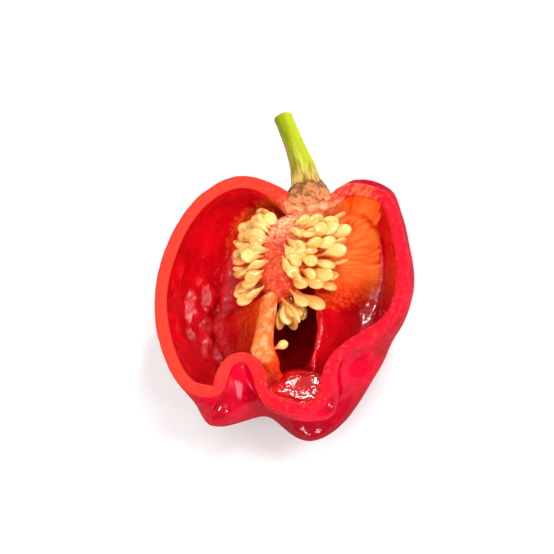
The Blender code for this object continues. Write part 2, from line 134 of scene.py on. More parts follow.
# Spots of the flesh that look their own way: x, y, and how far they reach along each
CREASED_SPOTS = ((-21.0, 4.0, 6.0, 8.0), (-17.0, -5.0, 6.0, 5.0))
ORANGE_SPOT = (4.0, 23.0, 13.0, 5.5)
PALE_SPOT = (4.0, 20.5, 6.5, 3.2)
# SHADED_SPOT is painted shade: a darker red low in the right chamber
SHADED_SPOT = (12.0, 0.5, 7.0, 4.0)
FIBRES_FROM = (1.0, 9.0)  # the fibres fan out from here
FIBRE_RADIUS = 15.0  # where their width is true

# Webs between the chambers, as in the CAD model. Each edge is y, x, depth and half thickness
WEB_STEPS = 150
WEB_ROWS = 50
WEB_START = 24.0
WEB_END = -20.0
LEFT_WEB_TOP = (
    (24.0, -2.5, 7.0, 0.9), (4.0, -3.0, 7.0, 0.9), (1.5, -3.0, 1.2, 1.3), (-3.0, -3.4, 0.3, 1.6),
    (-7.0, -4.3, 0.3, 1.9), (-11.0, -5.0, 0.3, 2.9), (-13.5, -4.6, 1.4, 3.3), (-16.0, -4.2, 4.0, 2.4),
    (-20.0, -4.2, 8.0, 1.4),
)
LEFT_WEB_FOOT = ((24.0, -21.6, 20.2, 1.2), (0.0, -22.0, 21.0, 1.2), (-20.0, -13.0, 26.0, 1.2))
RIGHT_WEB_TOP = (
    (24.0, 3.5, 6.5, 0.9), (12.0, 4.0, 7.0, 0.9), (4.0, 4.4, 7.5, 0.9), (-5.0, 5.2, 7.0, 0.8),
    (-10.0, 4.2, 7.2, 0.8), (-13.0, 2.8, 8.5, 0.9), (-20.0, 2.0, 12.0, 1.2),
)
RIGHT_WEB_FOOT = (
    (24.0, 26.0, 15.0, 1.2), (12.0, 25.0, 17.0, 1.2), (0.0, 18.0, 23.0, 1.2), (-20.0, 12.0, 26.0, 1.4),
)
FILLET = (1.9, 1.6)  # how much a web swells where it meets the wall, and over what distance

# Core and seeds, as in the CAD model
CORE_RINGS = 110
CORE_SIDES = 130
CORE_TOP = 0.25  # its top stays this far below the cut
CORE = (  # y, x, half width, depth, half depth
    (20.9, 1.4, 5.2, 4.0, 4.4),
    (16.5, 0.0, 6.2, 4.8, 5.8),
    (11.5, -0.8, 6.8, 5.2, 6.4),
    (6.5, -1.8, 5.8, 5.2, 6.0),
    (3.0, -2.6, 4.2, 4.6, 5.0),
    (0.0, -3.2, 2.4, 3.2, 3.4),
)
SEED_ROWS = (  # bearing around the core, first and last share of its length, number, stalk
    (78, 0.12, 0.62, 6, 0.0),
    (66, 0.10, 0.55, 4, 0.1),
    (44, 0.02, 0.80, 8, 0.7),
    (24, 0.00, 0.90, 9, 2.4),
    (4, 0.00, 0.95, 10, 3.6),
    (-18, 0.04, 0.98, 9, 3.0),
    (-44, 0.30, 1.00, 7, 1.6),
    (124, 0.04, 0.60, 6, 0.1),
    (144, 0.00, 0.85, 9, 1.0),
    (164, 0.00, 0.92, 10, 2.2),
    (184, 0.00, 0.96, 10, 2.8),
    (208, 0.10, 1.00, 8, 2.0),
)
HANGING_ROWS = (
    (200, 0.80, 1.00, 4, 1.0),
    (-30, 0.78, 1.00, 4, 1.6),
    (-62, 0.70, 1.00, 4, 2.6),
)
HANG = 24.0  # how far those lean to the tip, in degrees
SEED_RISE = 0.08  # how steeply a seed may point up
SEED_FAN = 62.0  # lean towards each end of the core, in degrees
SEED_LEANS = (1.0, 0.6, 0.2, -0.2)  # shares of that lean, tried one after the other
SEED_CLEARANCE = 0.4
SEED_DRAW = 41

# Form of a seed: a flat drop, which varies in size, curl and roll about its length
SEED_RINGS = 24
SEED_SIDES = 20
SEED_LENGTH = 3.6
SEED_WIDTH = 3.1
SEED_THICK = 1.5
SEED_NECK = 0.34
SEED_SUNK = 0.4
SEED_DISH = 0.18
SEED_SIZES = (0.88, 1.12)
SEED_CURLS = (-0.2, 0.2)
SEED_ROLL = 80.0  # degrees either way
SEED_WIDEST = 0.6  # share of its length where a seed is widest
SHAPE_DRAW = 5  # where the random draws of their forms and shades start
SHADE_DRAW = 8

# Further seeds over the core's front, in rows as above, each with its own hang
FURTHER_ROWS = (
    (134, 0.06, 0.72, 6, 0.5, 0.0),
    (54, 0.08, 0.7, 4, 0.4, 8.0),
    (80, 0.24, 0.6, 4, 0.2, 66.0),
    (66, 0.3, 0.62, 4, 0.4, 58.0),
)
FURTHER_LIFT = 0.45  # for those that hang more than HANG

# The one seed on the left web: its root, direction and flat side
LEG_SEED = ((-3.3, -10.3, 22.4), (0.93, 0.33, 0.1), (0.1, -0.9, 1.0))
LEG_SEED_STALK = 0.4
LEG_SEED_SIZE = 0.66

# Stem, as in the CAD model. Its axis is x, y and depth; its radii are at distances along the axis
STEM_RINGS = 150
STEM_SIDES = 90
STEM_AXIS = ((4.4, 20.2, 3.3), (3.9, 25.0, 2.6), (2.9, 31.0, 2.2), (0.8, 37.5, 2.0), (-1.9, 45.2, 2.0))
STEM_LENGTH = 24.6
STEM_RADII = (
    (0.0, 2.6), (2.6, 3.7), (6.6, 3.3), (8.0, 3.15), (10.4, 2.85), (13.0, 2.5), (16.5, 2.2),
    (23.0, 2.05), (24.3, 2.15), (24.6, 1.85),
)
STEM_RIBS = ((0.02, 5.0, 0.8, 0.02), (0.008, 17.0, 0.0, -0.05))  # share, number, turn, twist
STEM_RELIEF = ((0.07, 3.0, 0.0),)
STEM_END_RELIEF = ((0.16, 0.9, 0.0),)
STEM_END = 1.2  # length of the rough stretch at the cut end
STEM_END_FROM = 20.0  # the relief lifts the surface in the axis's direction here
STEM_CAP = 0.35  # how far the cut end bulges
STEM_CAP_SHARES = (0.9, 0.6, 0.25)
STREAK_RADIUS = 2.4  # where the streaks' width is true

# Calyx: a dry collar around the stem's foot. Its radii are at distances along the stem's axis
CALYX_RINGS = 40
CALYX_SIDES = 260
CALYX_START = 1.0
CALYX_RADII = (
    (1.0, 3.8), (1.8, 4.6), (2.6, 5.15), (3.2, 5.3), (4.2, 4.8), (5.4, 4.15), (6.6, 3.8),
    (8.0, 3.5),
)
CALYX_WIDEST = 3.2
CALYX_TOP = 5.5
CALYX_TEETH = (0.7, 0.8)  # how far its ragged edge reaches past the top, by rule and by noise
CALYX_RIM = 0.45  # thickness at the ragged edge
CALYX_BEHIND = 0.8  # how far it reaches back down behind the rim
CALYX_OUTSIDE = 0.8  # share of its rings that go up its outside, the rest go down behind the rim
CALYX_CRACKS = (  # bearing around the stem, width and depth
    (148.0, 6.0, 1.1), (8.0, 6.0, 0.9), (64.0, 4.0, 0.3), (101.0, 3.5, 0.35),
)
CALYX_FLAP = (180.0, 24.0, 1.3)  # bearing, width and height


def smooth_step(value, low, high):
    """0 below low, 1 above high, and a smooth rise between them."""
    share = np.clip((value - low) / (high - low), 0.0, 1.0)
    return share * share * (3.0 - 2.0 * share)


def hill(*offsets):
    """1 on top of a bell-shaped hill and 0 far from it, by each distance from the top and its reach."""
    return np.exp(-sum((distance / reach) ** 2 for distance, reach in offsets))


def spot_share(x, y, spot):
    """1 in the middle of a spot and 0 far from it."""
    middle_x, middle_y, reach_x, reach_y = spot
    return hill((x - middle_x, reach_x), (y - middle_y, reach_y))


def row_at(table, y):
    """What the table of a web's edge or the core says at a given y, between its rows."""
    first, *others = np.array(table, float)[::-1].T
    return [float(np.interp(y, first, column)) for column in others]


def closed_curve(points, count):
    """count points along a smooth closed curve through the given ones."""
    points = np.array(points, float)
    place = np.arange(count) / count * len(points)
    before = np.floor(place).astype(int)
    t = (place - before)[:, None]
    a, b, c, d = (points[(before + step) % len(points)] for step in (-1, 0, 1, 2))
    square = 2 * a - 5 * b + 4 * c - d
    cube = 3 * b - a - 3 * c + d
    return 0.5 * (2 * b + (c - a) * t + square * t**2 + cube * t**3)


def rounded(curve, harmonics):
    """The closed curve without its folds: only its first few harmonics."""
    waves = np.fft.fft(curve[:, 0] + 1j * curve[:, 1])
    order = np.abs(np.fft.fftfreq(len(curve), 1.0 / len(curve)))
    waves[order > harmonics] = 0.0
    plain = np.fft.ifft(waves)
    return np.stack([plain.real, plain.imag], axis=1)


def bearing_gap(bearing, centre):
    """Signed difference of two bearings in degrees, from -180 to 180."""
    return (bearing - centre + 180.0) % 360.0 - 180.0


def across(curve):
    """Outward horizontal direction at each point of a closed curve."""
    along = np.roll(curve, -1, axis=0) - np.roll(curve, 1, axis=0)
    out = np.stack([along[:, 1], -along[:, 0]], axis=1)
    return out / np.linalg.norm(out, axis=1, keepdims=True)


def cut_dip(x, y):
    """How far the cut face dips below its plane."""
    return sum(dip * hill((x - cx, spread), (y - cy, spread)) for cx, cy, spread, dip in CUT_DIPS)


def skin_rise(bearing, depth):
    """How far the bulges and hollows push the skin outwards."""
    rise = np.zeros(np.broadcast(bearing, depth).shape)
    for _, centre, level, spread, reach, height in SKIN_FORMS:
        rise += height * hill((bearing_gap(bearing, centre), spread), (depth - level, reach))
    return rise


def sill_rise(bearing, depth):
    """How far the ridge under the pocket of the middle lobe comes in towards +Y."""
    centre, level, spread, above, below, height = SILL
    reach = np.where(depth < level, above, below)
    return height * hill((bearing_gap(bearing, centre), spread), (depth - level, reach))


def furrow_drop(x, y, depth):
    """How deep the furrows on the back cut into the skin."""
    arch = np.sqrt(np.clip(1.0 - (y / BACK_HALF_LENGTH) ** 2, 0.02, 1.0))
    drop = sum(deep * hill((x - side * arch, width)) for side, width, deep in BACK_FURROWS)
    return drop * smooth_step(depth, 7.0, 16.0)


def melted(bearing, depth):
    """How far the folds of the cut edge have melted away, from 0 to 1."""
    sooner = np.zeros(np.shape(bearing))
    for centre, spread, share in QUICK_FADES:
        sooner += share * hill((bearing_gap(bearing, centre), spread))
    return smooth_step(depth / (1.0 - sooner), *DETAIL_FADES)


def bowl(edge, plain, depth_below, forms, sill, rings, start):
    """Points of a bowl below a closed edge, from a starting depth down: a grid [ring, step, xyz]."""
    first = math.asin(start / depth_below)
    fall = first + (math.pi / 2.0 - first) * np.arange(rings) / rings
    share = np.sin(fall)[:, None]
    depth = depth_below * share
    narrowing = (1.0 - share**BOWL_FULLNESS) ** (1.0 / BOWL_FULLNESS)
    radius = np.hypot(plain[:, 0], plain[:, 1])
    bearing = np.degrees(np.arctan2(plain[:, 1], plain[:, 0]))[None, :]
    melt = melted(bearing, depth)[:, :, None]
    flat = (edge * (1.0 - melt) + plain * melt) * narrowing[:, :, None]
    rise = forms * skin_rise(bearing, depth) * narrowing * smooth_step(depth, 0.0, 2.0)
    flat = flat + (plain / radius[:, None]) * rise[:, :, None]
    flat[:, :, 1] += sill * sill_rise(bearing, depth)
    height = CUT_Z - depth - cut_dip(flat[:, :, 0], flat[:, :, 1]) * (1.0 - share) ** 2
    drop = forms * furrow_drop(flat[:, :, 0], flat[:, :, 1], depth)
    reach = np.hypot(flat[:, :, 0], CUT_Z - height) + 0.1
    flat[:, :, 0] -= drop * flat[:, :, 0] / reach
    height = height + drop * (CUT_Z - height) / reach
    return np.dstack([flat, height])


def edges(steps):
    """Outer and inner line of the cut, and the plain outlines that they melt into."""
    edge = closed_curve(CUT_EDGE, steps)
    bearing = np.degrees(np.arctan2(edge[:, 1], edge[:, 0]))
    thickness = WALL + WALL_AT_STEM * hill((bearing_gap(bearing, STEM_BEARING), STEM_SPREAD))
    plain = rounded(edge, ROUND_HARMONICS)
    inner_edge = rounded(edge - across(edge) * thickness[:, None], INNER_HARMONICS)
    inner_plain = plain - across(plain) * thickness[:, None]
    return edge, plain, inner_edge, inner_plain


def wobble(points, size, offset=0.0):
    """Smooth noise from -1 to 1 at each point, with bumps of about the given size."""
    flat = points.reshape(-1, 3) / size + offset
    values = [noise.noise(Vector(point)) for point in flat.tolist()]
    return np.array(values).reshape(points.shape[:-1])


def relief(points, waves):
    """Height of a relief at each point, from noise of several sizes."""
    return sum(height * wobble(points, size, offset) for height, size, offset in waves)


def grid_normals(grid):
    """Unit normals of a grid [ring, step, xyz] whose rings are closed."""
    around = np.roll(grid, -1, axis=1) - np.roll(grid, 1, axis=1)
    down = np.gradient(grid, axis=0)
    normal = np.cross(around, down)
    return normal / (np.linalg.norm(normal, axis=2, keepdims=True) + 1e-9)


def put(name, data):
    """A new object in the scene."""
    obj = bpy.data.objects.new(name, data)
    bpy.context.scene.collection.objects.link(obj)
    return obj


def make_mesh(name, points, faces, slot, materials):
    """A mesh in metres from points in millimetres. With a slot it is a piece that rides on the body."""
    mesh = bpy.data.meshes.new(name)
    mesh.from_pydata((np.asarray(points) * METRES).tolist(), [], faces)
    mesh.update()
    bm = bmesh.new()
    bm.from_mesh(mesh)
    bmesh.ops.recalc_face_normals(bm, faces=bm.faces)
    bm.to_mesh(mesh)
    bm.free()
    mesh.shade_smooth()
    for material in materials:
        mesh.materials.append(material)
    obj = put(name, mesh)
    if slot:
        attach(obj, "root")
    return obj


def loft(grid):
    """Points and faces of closed rings joined one to the next, with both ends closed by a fan."""
    rings, steps = grid.shape[:2]
    points = np.vstack([grid.reshape(-1, 3), grid[0].mean(axis=0), grid[-1].mean(axis=0)])
    first, last = rings * steps, rings * steps + 1
    faces = []
    for step in range(steps):
        ahead = (step + 1) % steps
        faces.append((first, ahead, step))
        faces.append((last, (rings - 1) * steps + step, (rings - 1) * steps + ahead))
        for ring in range(rings - 1):
            here = ring * steps
            faces.append((here + step, here + ahead, here + steps + ahead, here + steps + step))
    return points, faces


def make_lofted(name, grid, slot, materials):
    """A mesh from closed rings joined one to the next."""
    return make_mesh(name, *loft(grid), slot, materials)


def paint(obj, name, values):
    """Stores one number for each vertex, which the materials read."""
    layer = obj.data.attributes.new(name, "FLOAT", "POINT")
    layer.data.foreach_set("value", np.asarray(values, np.float32))


def paint_rings(obj, name, rows, ends=(0.0, 0.0)):
    """Paints a lofted piece: a number for each point of each ring, and those of its two end points."""
    paint(obj, name, np.append(np.ravel(rows), ends))


def points_of(obj):
    """The vertices of an object in millimetres."""
    flat = np.empty(len(obj.data.vertices) * 3)
    obj.data.vertices.foreach_get("co", flat)
    return flat.reshape(-1, 3) / METRES


def tree_of(obj):
    """The object's surface, ready for questions about distance."""
    return BVHTree.FromObject(obj, bpy.context.evaluated_depsgraph_get())


def distances(tree, points):
    """Distance in millimetres of each point from a surface."""
    places = (points * METRES).tolist()
    return np.array([tree.find_nearest(Vector(point))[3] for point in places]) / METRES


# Materials


def colour(code):
    """Linear colour of a hexadecimal screen colour."""
    screen = [int(code[at : at + 2], 16) / 255.0 for at in (0, 2, 4)]
    linear = [value / 12.92 if value <= 0.04045 else ((value + 0.055) / 1.055) ** 2.4 for value in screen]
    return (*linear, 1.0)


def fill(node, values):
    """Links or sets sockets of a node, by name or number, and leaves out those whose value is None."""
    for key, value in values.items():
        if isinstance(value, bpy.types.NodeSocket):
            node.id_data.links.new(value, node.inputs[key])
        elif value is not None:
            node.inputs[key].default_value = value


def new_node(kind, values, **settings):
    """A node with these values, in the tree that the first socket among them belongs to."""
    source = next(value for value in values.values() if isinstance(value, bpy.types.NodeSocket))
    made = source.id_data.nodes.new(kind)
    for name, setting in settings.items():
        setattr(made, name, setting)
    fill(made, values)
    return made


def blend(share, first, second):
    """A colour between two."""
    made = new_node("ShaderNodeMix", {0: share, 6: first, 7: second}, data_type="RGBA")
    return made.outputs[2]


def layered(base, *coats):
    """The base colour under coats, each with its share and its screen colour."""
    for share, code in coats:
        base = blend(share, base, colour(code))
    return base


def maths(operation, first, second=0.0, third=0.0, clamp=False):
    """The result of one operation on numbers that are fixed or come from sockets."""
    values = {0: first, 1: second, 2: third}
    made = new_node("ShaderNodeMath", values, operation=operation, use_clamp=clamp)
    return made.outputs[0]


def times(first, second):
    return maths("MULTIPLY", first, second)


def swayed(value, noise_value, reach):
    """A value moved up and down by noise, over the given reach in all."""
    return maths("MULTIPLY_ADD", maths("SUBTRACT", noise_value, 0.5), reach, value)


def between(value, low, high):
    """0 below low, 1 above high, smooth between."""
    values = {"Value": value, "From Min": low, "From Max": high}
    made = new_node("ShaderNodeMapRange", values, interpolation_type="SMOOTHSTEP")
    return made.outputs["Result"]


def mottled(value, low, high, first, second):
    """One screen colour where the value is low, and another where it is high."""
    return blend(between(value, low, high), colour(first), colour(second))


def attribute(tree, name):
    """The number that paint() stored at each vertex under this name."""
    made = tree.nodes.new("ShaderNodeAttribute")
    made.attribute_name = name
    return made.outputs["Fac"]


def place(tree):
    """The point's place in millimetres."""
    metres = tree.nodes.new("ShaderNodeTexCoord").outputs["Object"]
    made = new_node("ShaderNodeVectorMath", {0: metres, "Scale": 1.0 / METRES}, operation="SCALE")
    return made.outputs[0]


def bundle(x, y, z):
    """A vector from three numbers."""
    return new_node("ShaderNodeCombineXYZ", {0: x, 1: y, 2: z}).outputs[0]


def speckle(vector, size, detail=2.0, distortion=0.0):
    """Noise from 0 to 1 with spots of about the given size."""
    values = {"Vector": vector, "Scale": 1.0 / size, "Detail": detail, "Distortion": distortion}
    return new_node("ShaderNodeTexNoise", values).outputs["Fac"]


def bump(height, distance, below=None):
    """Normals of a relief of the given height in millimetres, on top of another."""
    values = {"Height": height, "Distance": distance * METRES, "Normal": below}
    return new_node("ShaderNodeBump", values).outputs["Normal"]


def make_material(name, **values):
    """A Principled material with the given socket values, its node tree and its shader."""
    material = bpy.data.materials.new(name)
    material.use_nodes = True
    tree = material.node_tree
    shader = tree.nodes["Principled BSDF"]
    fill(shader, {name.replace("_", " "): value for name, value in values.items()})
    return material, tree, shader


def finish_material(shader, base, rough=None, normal=None, coat_normal=None):
    """Links what varies over the surface to the shader."""
    fill(shader, {"Base Color": base, "Roughness": rough, "Normal": normal, "Coat Normal": coat_normal})


def skin_material():
    """Glossy deep red skin, mottled, darkened lower down by painted shade, with a waxy coat that is a little
    uneven.
    """
    material, tree, shader = make_material(
        "pepper_skin",
        Specular_IOR_Level=0.0,
        Coat_Weight=0.12,
        Coat_IOR=2.0,
        Coat_Roughness=0.1,
        Subsurface_Weight=0.1,
        Subsurface_Radius=(1.0, 0.08, 0.04),
        Subsurface_Scale=0.0012,
    )
    spot = place(tree)
    broad = speckle(spot, 9.0, 2.0)
    fine = speckle(spot, 1.3, 3.0)
    # painted shade: lower down, the skin is darkened towards a deep red where it falls into shade
    low = between(attribute(tree, "height"), 22.0, 9.0)
    base = layered(
        mottled(broad, 0.35, 0.68, "A60016", "CC0026"),
        (between(fine, 0.5, 0.8), "E20A36"),
        (times(low, 0.9), "76000E"),
    )
    rough = maths("MULTIPLY_ADD", fine, 0.2, 0.2)
    waves = bump(speckle(spot, 4.2, 1.0), 0.22)
    pores = bump(speckle(spot, 0.9, 2.0), 0.035, waves)
    finish_material(shader, base, rough, pores, pores)
    return material


def wall_colour(tree, spot, grain):
    """Red of the wet wall, darkened by painted shade deeper in the bowl, and of the paler band of the cut."""
    wall = mottled(speckle(spot, 6.0, 2.0), 0.3, 0.7, "BE000E", "DA0416")
    # painted shade: a darker red where the wall lies deep in the bowl and in the shaded spot of the right
    # chamber
    wall = layered(wall, (attribute(tree, "deep"), "B4000A"))
    band = layered(
        blend(attribute(tree, "warm"), colour("E40C28"), colour("F23A2A")),
        (between(grain, 0.5, 0.9), "FF5238"),
        (attribute(tree, "rim"), "D00018"),
    )
    return blend(attribute(tree, "cut"), wall, band)


def web_colour(tree, fibres, grain):
    """Orange of the fibres, which is dull red-brown where they aren't bright."""
    dull = mottled(grain, 0.3, 0.7, "C41A08", "E04A12")
    dull = layered(dull, (between(grain, 0.66, 0.82), "F07830"))
    web = layered(
        mottled(fibres, 0.3, 0.62, "EC5614", "F47828"),
        (between(fibres, 0.62, 0.85), "FB9A48"),
        (between(grain, 0.6, 0.85), "E84C14"),
    )
    web = blend(attribute(tree, "bright"), dull, web)
    return layered(web, (times(attribute(tree, "cut"), 0.7), "F8583C"))


def flesh_material():
    """Cut and inner flesh: red where it is wet wall, orange and fibrous near the core, paler on the cut."""
    material, tree, shader = make_material(
        "pepper_flesh",
        Specular_IOR_Level=0.1,
        Coat_IOR=1.6,
        Coat_Roughness=0.02,
        Subsurface_Weight=0.2,
        Subsurface_Radius=(1.0, 0.16, 0.05),
        Subsurface_Scale=0.0015,
    )
    spot = place(tree)
    cut = attribute(tree, "cut")
    flow = bundle(attribute(tree, "around"), times(attribute(tree, "away"), 0.16), 0.0)
    fibres = speckle(flow, 0.75, 3.0, 0.6)
    grain = speckle(spot, 0.8, 3.0)

    orange = times(attribute(tree, "orange"), maths("MULTIPLY_ADD", cut, -0.45, 1.0))
    ragged = between(swayed(swayed(orange, fibres, 1.2), grain, 0.6), 0.38, 0.8)
    base = blend(ragged, wall_colour(tree, spot, grain), web_colour(tree, fibres, grain))
    spongy = speckle(spot, 1.5, 3.0, 0.5)
    whitish = mottled(spongy, 0.3, 0.7, "EE6238", "F4AC7C")
    paler = between(times(attribute(tree, "pale"), spongy), 0.15, 0.5)
    base = blend(paler, base, whitish)

    wet = maths("SUBTRACT", 1.0, maths("MAXIMUM", cut, orange), clamp=True)
    fill(shader, {"Coat Weight": wet})
    rough = maths("MULTIPLY_ADD", wet, -0.22, 0.42)
    wrinkled = bump(times(speckle(spot, 3.0, 2.0, 0.8), wet), 0.55)
    creases = times(speckle(spot, 1.0, 2.0, 0.8), times(attribute(tree, "creased"), wet))
    creased = bump(creases, 0.42, wrinkled)
    ridged = bump(times(fibres, orange), 0.22, wrinkled)
    grained = bump(grain, 0.1, ridged)
    finish_material(shader, base, rough, grained, creased)
    return material


def core_material():
    """Spongy tissue of the core: pink-orange with red spots, paler towards the stem."""
    material, tree, shader = make_material(
        "pepper_core",
        Roughness=0.5,
        Specular_IOR_Level=0.3,
        Subsurface_Weight=0.3,
        Subsurface_Radius=(1.0, 0.35, 0.15),
        Subsurface_Scale=0.0015,
    )
    spot = place(tree)
    fine = speckle(spot, 0.7, 4.0, 0.4)
    broad = speckle(spot, 2.4, 3.0, 0.6)
    base = layered(
        mottled(broad, 0.36, 0.62, "C42810", "DA5024"),
        (between(fine, 0.54, 0.74), "EA7A44"),
        (between(fine, 0.46, 0.34), "D42414"),
        (times(attribute(tree, "pale"), between(fine, 0.3, 0.6)), "FBC490"),
    )
    grained = bump(fine, 0.5, bump(broad, 0.6))
    finish_material(shader, base, None, grained)
    return material


def seed_material():
    """Cream seeds, waxy and a little translucent, with painted warm shade at each seed's edge, and warmer at
    the stalk.
    """
    material, tree, shader = make_material(
        "pepper_seeds",
        Roughness=0.4,
        Coat_Weight=1.0,
        Coat_Roughness=0.1,
        Subsurface_Weight=0.35,
        Subsurface_Radius=(1.0, 0.6, 0.25),
        Subsurface_Scale=0.0008,
    )
    spot = place(tree)
    fine = speckle(spot, 0.5, 2.0)
    base = layered(
        blend(attribute(tree, "tint"), colour("FAD47C"), colour("EFAA50")),
        (between(fine, 0.5, 0.85), "EEA040"),
        # painted shade: a warm orange at each seed's edge, where the crowded seeds shade one another
        (times(attribute(tree, "border"), 0.4), "F09C3C"),
        (times(attribute(tree, "stalk"), 0.9), "F57A34"),
    )
    finish_material(shader, base, None, bump(fine, 0.06))
    return material


def stem_material():
    """Yellow-green stalk, darkened by painted shade on its -X side and lit by painted light on its +X side,
    with pale streaks along its top that are partly a painted highlight, and brown at its foot.
    """
    material, tree, shader = make_material(
        "pepper_stem",
        Roughness=0.5,
        Specular_IOR_Level=0.15,
        Subsurface_Weight=0.15,
        Subsurface_Radius=(0.5, 1.0, 0.2),
        Subsurface_Scale=0.001,
    )
    spot = place(tree)
    along = attribute(tree, "along")
    sideways = attribute(tree, "sideways")
    flow = bundle(attribute(tree, "around"), times(along, 0.12), 0.0)
    streaks = speckle(flow, 0.5, 3.0, 0.2)
    broad = speckle(flow, 1.6, 2.0, 0.2)
    fine = speckle(spot, 0.5, 3.0)
    # pale streaks along the top of the stalk: partly real streaks, partly a painted highlight where light
    # falls on its top
    centre = maths("SUBTRACT", 1.0, maths("ABSOLUTE", maths("SUBTRACT", sideways, 0.1)))
    pale = times(between(centre, 0.6, 1.0), between(along, 20.0, 11.0))
    pale = times(pale, between(broad, 0.3, 0.6))
    left = maths("MULTIPLY_ADD", sideways, -1.0, times(broad, 0.5))
    left = times(between(left, 0.75, 1.15), between(along, 19.5, 16.0))
    green = layered(
        # painted shade and light: darker green on the stalk's -X side, lighter on its +X side
        mottled(sideways, -0.6, 0.75, "808A00", "B2BC04"),
        (times(pale, 0.75), "DAD668"),
        (times(between(streaks, 0.52, 0.75), 0.5), "CCCC3C"),
        (times(between(streaks, 0.45, 0.25), 0.35), "7C8408"),
        (times(left, 0.85), "B98848"),
    )
    tan = mottled(streaks, 0.35, 0.62, "9A6E1E", "D6B660")
    foot = swayed(along, streaks, 7.0)
    base = blend(between(foot, 12.5, 7.0), green, tan)
    end = maths("MULTIPLY_ADD", fine, 0.5, along)
    base = layered(base, (between(end, STEM_LENGTH, STEM_LENGTH + 0.25), "CDBE78"))
    ridges = bump(streaks, 0.2)
    finish_material(shader, base, None, bump(fine, 0.06, ridges))
    return material


def calyx_material():
    """Dry tan scales, brown at the rim, darkened by painted shade in the cracks, and pinkish where they meet
    the flesh.
    """
    material, tree, shader = make_material("pepper_calyx", Roughness=0.7)
    spot = place(tree)
    fine = speckle(spot, 0.45, 4.0, 0.5)
    broad = speckle(spot, 1.5, 2.0)
    pink = times(attribute(tree, "low"), between(broad, 0.36, 0.56))
    base = layered(
        mottled(broad, 0.4, 0.62, "8E5018", "C67C3A"),
        (times(pink, 0.85), "DE8A54"),
        (between(fine, 0.4, 0.26), "8A5420"),
        (times(attribute(tree, "rim"), between(broad, 0.3, 0.5)), "6E4412"),
        # painted shade: near-black brown in the cracks
        (between(attribute(tree, "crack_shade"), 0.3, 0.9), "2E1406"),
    )
    finish_material(shader, base, None, bump(fine, 0.3))
    return material


# Shell: skin, cut band and inner side in one closed mesh


def band_rows(edge, inner_edge):
    """The cut face between its outer and inner line, with both edges slightly rounded."""
    share = np.array(BAND_SHARES)[:, None]
    width = np.linalg.norm(edge - inner_edge, axis=1)[None, :]
    from_outer = share * width
    from_inner = (1.0 - share) * width
    drop = round_drop(from_outer, OUTER_ROUND) + round_drop(from_inner, INNER_ROUND)
    flat = edge[None] * (1.0 - share[:, :, None]) + inner_edge[None] * share[:, :, None]
    height = CUT_Z - cut_dip(flat[:, :, 0], flat[:, :, 1]) - drop
    return np.dstack([flat, height])


def round_drop(distance, radius):
    """How far a rounded edge has dropped at a distance from where it turns."""
    short = np.clip(radius - distance, 0.0, radius)
    return radius - np.sqrt(radius**2 - short**2)


def shell_grid():
    """Rings from the bottom of the skin, over the cut, to the bottom of the inside, and each ring's zone."""
    edge, plain, inner_edge, inner_plain = edges(SHELL_STEPS)
    skin = bowl(edge, plain, BOWL_DEPTH, 1.0, 0.0, SKIN_RINGS, OUTER_ROUND + BELOW_ROUNDING)
    inner_depth = CUT_Z - WALL_BELOW
    inner_start = INNER_ROUND + BELOW_ROUNDING
    inner = bowl(inner_edge, inner_plain, inner_depth, INSIDE_FORMS, 1.0, INNER_RINGS, inner_start)
    band = band_rows(edge, inner_edge)
    grid = np.concatenate([skin[::-1], band, inner])
    zones = np.repeat([SKIN, CUT, INSIDE], [len(skin), len(band), len(inner)])
    return grid, zones


def creased_share(x, y):
    """How creased the inner wall is, from 0 to 1: most in the left chamber."""
    return np.clip(sum(spot_share(x, y, spot) for spot in CREASED_SPOTS), 0.0, 1.0)


def roughen_shell(grid, zones):
    """Uneven skin, knife marks on the cut, and the wavy wet membrane inside."""
    normals = grid_normals(grid)
    zone = zones[:, None]
    below = CUT_Z - grid[:, :, 2]
    skin = relief(grid, SKIN_RELIEF) * smooth_step(below, 0.3, 2.0)
    creases = relief(grid, CREASES) * creased_share(grid[:, :, 0], grid[:, :, 1])
    inner = (relief(grid, INNER_RELIEF) + creases) * smooth_step(below, 0.5, 3.0)
    height = np.where(zone == SKIN, skin, np.where(zone == CUT, relief(grid, CUT_RELIEF), inner))
    moved = grid + normals * height[:, :, None]
    moved[:, :, 2] = np.where(zone == SKIN, np.maximum(moved[:, :, 2], 0.0), moved[:, :, 2])
    return moved


def make_shell(skin, flesh):
    """The wall with its skin: one closed mesh, with the skin's material on the faces of its zone."""
    grid, zones = shell_grid()
    grid = roughen_shell(grid, zones)
    shell = make_lofted("flesh_and_skin", grid, "flesh", [skin, flesh])
    rings = len(zones)
    shares = np.zeros(rings)
    shares[zones == CUT] = BAND_SHARES
    cut = np.repeat(zones == CUT, SHELL_STEPS).astype(float)
    rim = np.repeat(np.where(zones == CUT, np.exp(-shares / RIM_SHARE), 0.0), SHELL_STEPS)
    paint_rings(shell, "cut", cut)
    paint_rings(shell, "rim", rim)
    skin_points = np.count_nonzero(zones == SKIN) * SHELL_STEPS
    for polygon in shell.data.polygons:
        corners = [vertex for vertex in polygon.vertices if vertex < rings * SHELL_STEPS]
        on_skin = max(corners) < skin_points + SHELL_STEPS and min(corners) < skin_points
        polygon.material_index = 0 if on_skin else 1
    return shell


# Webs


